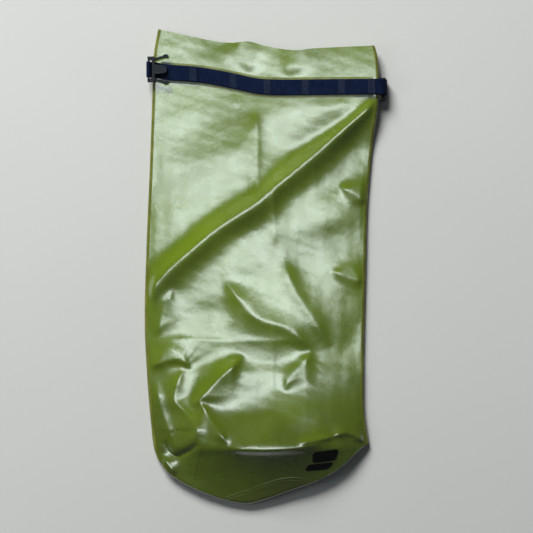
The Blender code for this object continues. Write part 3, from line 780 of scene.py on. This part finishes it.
olive = coated_fabric("coated_fabric", colour(0.150, 0.232, 0.005), colour(0.112, 0.176, 0.003), 0.28)
# The base panel's cloth: the same fabric in darker colours, painted shade of the base, which faces away
# from the light.
shaded_base_olive = coated_fabric("base_fabric", colour(0.085, 0.118, 0.004), colour(0.045, 0.064, 0.002), 0.31)
tape = tape_look()
navy = webbing_look()
thread = thread_look()
plastic = plastic_look()
black_print = print_look()
weld = weld_look()


# Pieces.


def soft_piece(piece, node, body="bag"):
    """A piece that moves with one body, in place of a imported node."""
    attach(piece, body)
    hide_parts(node)


def across_fold(piece):
    """Bakes the piece's transform into its mesh."""
    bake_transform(piece)


def back_creases(grid):
    """The back's outer face with shallow dents, which never reach below the floor."""
    x, y = grid[..., 0], grid[..., 1]
    dents = 0.0006 + ripple(1.3 * x + 0.2, 0.8 * y) + ripple(y, x)
    left, right = left_edge(y), right_edge(y)
    inside = smooth(0.0, 0.02, np.minimum(x - left, right - x))
    grid[..., 2] += np.maximum(dents, 0) * inside
    return grid


def make_skins():
    """The front and back walls, from the mouth's rim to the base, each as one sheet."""
    front = outer_face(skin_rows(front_bottom), True)
    back = back_creases(outer_face(skin_rows(back_bottom), False))
    front_skin = sheet("front_skin", front, 0, FABRIC, olive)
    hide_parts("front_panel", "mouth_front")
    back_skin = sheet("back_skin", back, 0, -FABRIC, olive)
    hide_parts("back_panel", "mouth_back")
    for skin in (front_skin, back_skin):
        across_fold(skin)
    return front, back


def make_side_seams(front, back):
    """The tapes that join front and back along the side edges."""
    rows = min(len(front), len(back))
    reach = EDGE_POINTS + 1
    for side in ("left", "right"):
        if side == "left":
            wrap = [back[:rows, reach:0:-1], front[:rows, :reach]]
        else:
            wrap = [front[:rows, -reach:], back[:rows, -2 : -reach - 2 : -1]]
        grid = np.concatenate(wrap, axis=1)
        seam = sheet(f"side_tape_{side}", grid, -(GAP / 2 + TAPE), TAPE, tape)
        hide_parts(f"side_seam_{side}", f"mouth_seam_{side}")
        across_fold(seam)


def make_hems(front, back):
    """The turned-in hems inside the mouth's rim, seen when one looks into the bag."""
    inner = slice(EDGE_POINTS + 1, -EDGE_POINTS - 1)
    for name, grid, side in (("front", front, 1), ("back", back, -1)):
        part = grid[:HEM_ROWS, inner]
        hem = sheet(f"hem_{name}", part, side * (FABRIC + LAYER_GAP), side * TAPE, tape)
        soft_piece(hem, f"mouth_hem_{name}", "mouth_flap")


def tube_data(path, radius, sides):
    """Points and faces of a closed tube along a path."""
    path = np.asarray(path, float)
    along = np.gradient(path, axis=0)
    along /= np.linalg.norm(along, axis=1, keepdims=True)
    out = np.cross(along, (0.0, 0.0, 1.0))
    out /= np.linalg.norm(out, axis=1, keepdims=True)
    up = np.cross(out, along)
    angles = np.arange(sides) * math.tau / sides
    rings = [path + radius * (math.cos(a) * out + math.sin(a) * up) for a in angles]
    points = np.stack(rings, axis=1).reshape(-1, 3)
    return points, tube_faces(len(path), sides)


def tube_faces(rings, sides):
    """Faces that join rings of points, with both ends closed."""
    faces = [tuple(range(sides)), tuple(range((rings - 1) * sides, rings * sides))]
    for start in range(0, (rings - 1) * sides, sides):
        for side in range(sides):
            ahead = (side + 1) % sides
            faces.append((start + side, start + ahead, start + sides + ahead, start + sides + side))
    return faces


def joined(parts):
    """The points and faces of several closed shapes as one list of each."""
    points, faces = [], []
    for part_points, part_faces in parts:
        offset = sum(len(p) for p in points)
        points.append(part_points)
        faces += [tuple(offset + i for i in face) for face in part_faces]
    return np.concatenate(points), faces


def strap_layer(x, layer):
    """The webbing's middle at each x, and its rise per metre towards +Y; layer 0 on the backing."""
    x = np.asarray(x, float)
    y = curve(STRAP_LINE, x)
    half = WEBBING_WIDTH / 2
    held = np.clip(x, *HELD_SPAN)
    low, mid, high = (wall(held, y + part * half, True) for part in (-1, 0, 1))
    height = np.maximum(mid, (low + high) / 2)
    height = height + BACKING_LIFT + STRAP_LIFT + WEBBING / 2 + layer * LAYER
    return np.stack([x, y, height, (high - low) / (2 * half)], axis=-1)


def loop_points(bar, steps, layer_y):
    """Path points at one y, from steps in millimetres in the XZ plane from the bar's middle."""
    return [(bar.x + x / 1000, layer_y, bar.z + z / 1000, 0.0) for x, z in steps]


def arc(radius, start, end, turn, side):
    """Points in millimetres round a bar, at angles in degrees, over it or under it (side -1)."""
    angles = np.radians(range(start, end, turn))
    return [(radius * math.cos(angle), side * radius * math.sin(angle)) for angle in angles]


def webbing_path():
    """The webbing's middle: tail, loop round the male half's bar, strap, loop, tail."""
    radius = LOOP * 1000
    path = [strap_layer(np.arange(*MALE_TAIL), 1)]
    tail = (path[-1][-1][2] - MALE_BAR.z) * 1000
    main = tail - LAYER * 1000
    loop = [(6.2, tail), (4.0, tail + 0.9), (radius, -1.4)]
    loop += arc(radius, 10, 181, 28, 1)
    loop += [(-radius, -1.6), (-radius + 0.4, main + 2.6), (-radius + 1.7, main + 0.8)]
    loop += [(1.2, main)]
    path.append(np.array(loop_points(MALE_BAR, loop, float(curve(STRAP_LINE, MALE_BAR.x)))))
    x = np.arange(*STRAP_SPAN)
    path.append(strap_layer(x, smooth(*SECOND_LAYER, x)))
    main = (path[-1][-1][2] - FEMALE_BAR.z) * 1000
    tail = main - LAYER * 1000
    loop = [(-7.5, main - 0.1), (-3.6, main - 1.3), (0.2, main - 4.2), (2.2, main - 8.2)]
    loop += [(radius, main - 12.0), (radius, 3.0)]
    loop += arc(radius, 0, 181, 30, -1)
    loop += [(-radius, 3.0), (-radius, tail - 9.0), (-radius - 0.7, tail - 5.0)]
    loop += [(-radius - 2.6, tail - 2.1), (-radius - 5.8, tail - 0.3)]
    path.append(np.array(loop_points(FEMALE_BAR, loop, float(curve(STRAP_LINE, FEMALE_BAR.x)))))
    path.append(strap_layer(np.arange(*FEMALE_TAIL), 0))
    return np.concatenate(path)


def ribbon_outline():
    """Half the webbing's cross-section and back: across its width, then through its thickness."""
    edge = WEBBING / 2
    half = WEBBING_WIDTH / 2 - edge
    flat = np.linspace(-half, half, 9)
    angles = np.radians([60, 30, 0, -30, -60])
    outline = [(a, edge) for a in flat]
    outline += [(half + edge * math.cos(a), edge * math.sin(a)) for a in angles]
    outline += [(a, -edge) for a in flat[::-1]]
    outline += [(-half - edge * math.cos(a), -edge * math.sin(a)) for a in angles]
    return np.array(outline)


def make_webbing():
    """The strap as one ribbed ribbon with round edges."""
    path = spline(webbing_path(), RIB / POINTS_PER_RIB)
    centres, rises = path[:, :3], path[:, 3]
    along = np.gradient(centres, axis=0)
    across = np.stack([np.zeros(len(path)), np.ones(len(path)), rises], axis=1)
    normal = np.cross(along, across)
    normal /= np.linalg.norm(normal, axis=1, keepdims=True)
    outline = ribbon_outline()
    phase = np.arange(len(path)) * math.tau / POINTS_PER_RIB
    ribs = 1 + RIB_HEIGHT / (WEBBING / 2) * np.sin(phase)
    points = (
        centres[:, None]
        + outline[None, :, :1] * across[:, None]
        - outline[None, :, 1:] * (normal * ribs[:, None])[:, None]
    )
    run = np.arange(len(path)) * RIB / POINTS_PER_RIB
    plan = np.stack(np.broadcast_arrays(run[:, None], outline[None, :, 0]), axis=-1)
    strap = add_mesh(
        "strap", points.reshape(-1, 3), tube_faces(len(path), len(outline)), navy,
        plan.reshape(-1, 2),
    )
    soft_piece(strap, "webbing_strap")


def make_backing():
    """The fabric strip between the strap and the front."""
    columns, rows = 300, 14
    x = np.linspace(*BACKING_SPAN, columns)
    from_end = np.minimum(x - BACKING_SPAN[0], BACKING_SPAN[1] - x)
    round_the_corner = np.clip(1 - from_end / BACKING_CORNER, 0, 0.98)
    inset = BACKING_CORNER * (1 - np.sqrt(1 - round_the_corner**2))
    half = BACKING_WIDTH / 2 - inset
    y = curve(STRAP_LINE, x) + np.linspace(1, -1, rows)[:, None] * half
    grid = on_front(np.dstack(np.broadcast_arrays(x, y)), BACKING_LIFT)
    soft_piece(sheet("strap_strip", grid, 0, BACKING, tape), "strap_backing")


def make_stitches():
    """Blocks of zigzag stitching that sew the strap to the strip."""
    for number, x in enumerate(STITCH_BLOCKS, 1):
        layer = 1.0 if x < MALE_TAIL[0] or x > SECOND_LAYER[1] else 0.0
        path = []
        for line in range(STITCH_LINES):
            steps = np.linspace(-1, 1, ZIGZAG_POINTS) * (1 if line % 2 else -1)
            for count, step in enumerate(steps):
                swing = ZIGZAG * (1 if count % 2 else -1)
                line_x = x + (line / (STITCH_LINES - 1) - 0.5) * STITCH_WIDTH + swing
                path.append((line_x, step * STITCH_HEIGHT / 2))
        path = np.array(path)
        middle = strap_layer(path[:, 0], layer)
        height = middle[:, 2] + WEBBING / 2 + path[:, 1] * middle[:, 3] + THREAD_LIFT
        places = np.stack([path[:, 0], middle[:, 1] + path[:, 1], height], axis=1)
        tube = tube_data(places, THREAD_RADIUS, THREAD_SIDES)
        stitches = add_mesh(f"zigzag_{number}", *tube, thread)
        soft_piece(stitches, f"stitch_block_{number}")


def base_row(reach, count):
    """Outer face of the base panel at a distance along it from its rim on the front."""
    half = math.sqrt(BASE_RADIUS**2 - (BASE_RADIUS - reach) ** 2)
    x = BASE_MIDDLE_X + np.linspace(-half, half, count)
    past = reach - BASE_ON_TOP
    straight = bottom_edge(BASE_MIDDLE_X)
    share = smooth(0.0, BASE_STRAIGHTENS, past)
    y = bottom_edge(x) * (1 - share) + straight * share + abs(past)
    if past < 0:
        over_front = (FABRIC + LAYER_GAP) * smooth(0.0, 0.008, -past)
        return np.stack([x, y, wall(x, y, True) + over_front], axis=1)
    return np.stack([x, y, np.full(count, EDGE_RADIUS * (1 - rounding(past)))], axis=1)


def make_base():
    """The round base panel, bent round the bottom edge, in a darker copy of the fabric: painted shade.
    """
    columns, front_rows, back_rows = 130, 24, 90
    rim_inset = 0.0006          # a row on the rim itself would have no width
    steps = edge_steps(EDGE_POINTS)
    reaches = list(np.linspace(rim_inset, BASE_ON_TOP - EDGE_RADIUS, front_rows))
    reaches += [*(BASE_ON_TOP - steps[::-1])[1:], *(BASE_ON_TOP + steps)]
    reaches += list(np.linspace(BASE_ON_TOP + 0.007, 2 * BASE_RADIUS - rim_inset, back_rows))
    grid = np.array([base_row(reach, columns) for reach in reaches])
    soft_piece(sheet("base", grid, 0, FABRIC, shaded_base_olive), "base_panel")


def make_weld():
    """The dashed weld, a little way inside the base panel's rim on the front."""
    inset, dash, gap = 0.0045, 0.0026, 0.0012
    reach = 0.085               # it ends this far to either side of the base's middle
    dashes = []
    for start in np.arange(-reach, reach, dash + gap):
        x = BASE_MIDDLE_X + np.linspace(start, start + dash, 4)
        y = bottom_edge(x) + base_on_top(x) - inset
        if (y < bottom_edge(x) + 0.001).any():
            continue
        height = wall(x, y, True) + FABRIC + WELD_LIFT
        path = np.stack([x, y, height], axis=1)
        dashes.append(tube_data(path, WELD_RADIUS, THREAD_SIDES))
    piece = add_mesh("base_weld_dashes", *joined(dashes), weld)
    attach(piece, "bag")


def plan_grid(corners, rows, columns):
    """A grid between four corners in plan: top left, top right, bottom left, bottom right."""
    top_left, top_right, bottom_left, bottom_right = (np.array(c) for c in corners)
    down = np.linspace(0, 1, rows)[:, None, None]
    over = np.linspace(0, 1, columns)[None, :, None]
    return (
        top_left * (1 - down) * (1 - over) + top_right * (1 - down) * over
        + bottom_left * down * (1 - over) + bottom_right * down * over
    )


def on_front(plan, lift):
    """The plan grid's points, laid a given height over the front."""
    x, y = plan[..., 0], plan[..., 1]
    return np.dstack([x, y, wall(x, y, True) + lift])


def make_base_seams():
    """The side seams' tapes where they run down over the slope above the base."""
    places = {
        "left": ((-0.1345, -0.3040), (-0.1055, -0.2990), (-0.1440, -0.3450), (-0.1190, -0.3580)),
        "right": ((0.1205, -0.3000), (0.1440, -0.2950), (0.1230, -0.3240), (0.1400, -0.3090)),
    }
    for side, corners in places.items():
        grid = on_front(plan_grid(corners, 30, 16), SEAM_END_LIFT)
        piece = sheet(f"seam_end_{side}", grid, 0, TAPE, olive)
        soft_piece(piece, f"base_seam_{side}")


def rounded_block(corners, rows, columns, corner):
    """A plan grid whose corners are pulled in to a rounded outline."""
    plan = plan_grid(corners, rows, columns)
    middle = plan.mean(axis=(0, 1))
    down = np.abs(np.linspace(-1, 1, rows))[:, None]
    over = np.abs(np.linspace(-1, 1, columns))[None, :]
    pull = 1 - corner * smooth(0.55, 1.0, down) * smooth(0.75, 1.0, over)
    return middle + (plan - middle) * pull[..., None]


def make_patch():
    """The plain black printed block, with a plain bar under it."""
    blocks = (
        ((0.0760, -0.3010), (0.1190, -0.2960), (0.0760, -0.3195), (0.1150, -0.3150)),
        ((0.0690, -0.3215), (0.1120, -0.3185), (0.0640, -0.3330), (0.1020, -0.3300)),
    )
    parts = []
    for corners in blocks:
        plan = rounded_block(corners, 14, 30, 0.09)
        parts.append(sheet_data(on_front(plan, PRINT_LIFT), 0, PRINT))
    piece = add_mesh("print", *joined(parts), black_print)
    soft_piece(piece, "printed_patch")


def finish_buckles():
    """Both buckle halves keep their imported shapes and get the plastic's look."""
    for name, node in frame["nodes"].items():
        if name.startswith("buckle_"):
            for place in node.material_slots:
                place.material = plastic


front_grid, back_grid = make_skins()
make_side_seams(front_grid, back_grid)
make_hems(front_grid, back_grid)
make_webbing()
make_backing()
make_stitches()
make_base()
make_weld()
make_base_seams()
make_patch()
finish_buckles()


# Stage, light and camera.


def make_stage():
    """A wide plain floor, just under the bag."""
    bpy.ops.mesh.primitive_grid_add(x_subdivisions=8, y_subdivisions=8, size=40)
    floor = bpy.context.object
    floor.name = "floor"
    floor.location = (0, 0, -0.0004)
    floor.data.materials.append(floor_look())


def softbox(name, place, size, power, tint, gloss=True, diffuse=True):
    """A lamp that faces the origin, with its first side as near to X as that allows."""
    data = bpy.data.lights.new(name, "AREA")
    data.shape = "RECTANGLE"
    data.size, data.size_y = size
    data.energy = power
    data.color = tint
    lamp = bpy.data.objects.new(name, data)
    lamp.visible_glossy = gloss
    lamp.visible_diffuse = diffuse
    lamp.location = place
    back = Vector(place).normalized()
    side = (Vector((1, 0, 0)) - back.x * back).normalized()
    lamp.rotation_euler = Matrix((side, back.cross(side), back)).transposed().to_euler()
    bpy.context.scene.collection.objects.link(lamp)


def make_light():
    """A long window overhead for the gloss, a far one and a small fill for the rest."""
    softbox("overhead_window", (-0.30, 0.56, 9.0), (5.9, 2.2), 212, (0.89, 1.0, 0.98), diffuse=False)
    softbox("far_window", (-1.9, 4.5, 3.3), (2.8, 2.1), 470, (1.0, 1.0, 0.97), gloss=False)
    softbox("left_fill", (-2.4, -0.2, 1.6), (1.0, 1.0), 9, (0.96, 1.0, 1.0), gloss=False)
    world = bpy.data.worlds.new("studio")
    world.use_nodes = True
    background = world.node_tree.nodes["Background"]
    background.inputs["Color"].default_value = colour(0.85, 0.92, 1.0)
    background.inputs["Strength"].default_value = 0.05
    bpy.context.scene.world = world


def make_camera():
    """Straight above the bag, with its mouth up in the picture."""
    distance = 2.6
    width = 0.874               # what the picture takes in at that distance
    middle = (0.0015, 0.0005, 0.01)
    sensor = 36
    data = bpy.data.cameras.new("camera")
    data.sensor_width = sensor
    data.lens = sensor * distance / width
    camera = bpy.data.objects.new("camera", data)
    camera.location = (middle[0], middle[1], distance + middle[2])
    bpy.context.scene.collection.objects.link(camera)
    bpy.context.scene.camera = camera


make_stage()
make_light()
make_camera()
bpy.context.scene.view_settings.view_transform = "Standard"
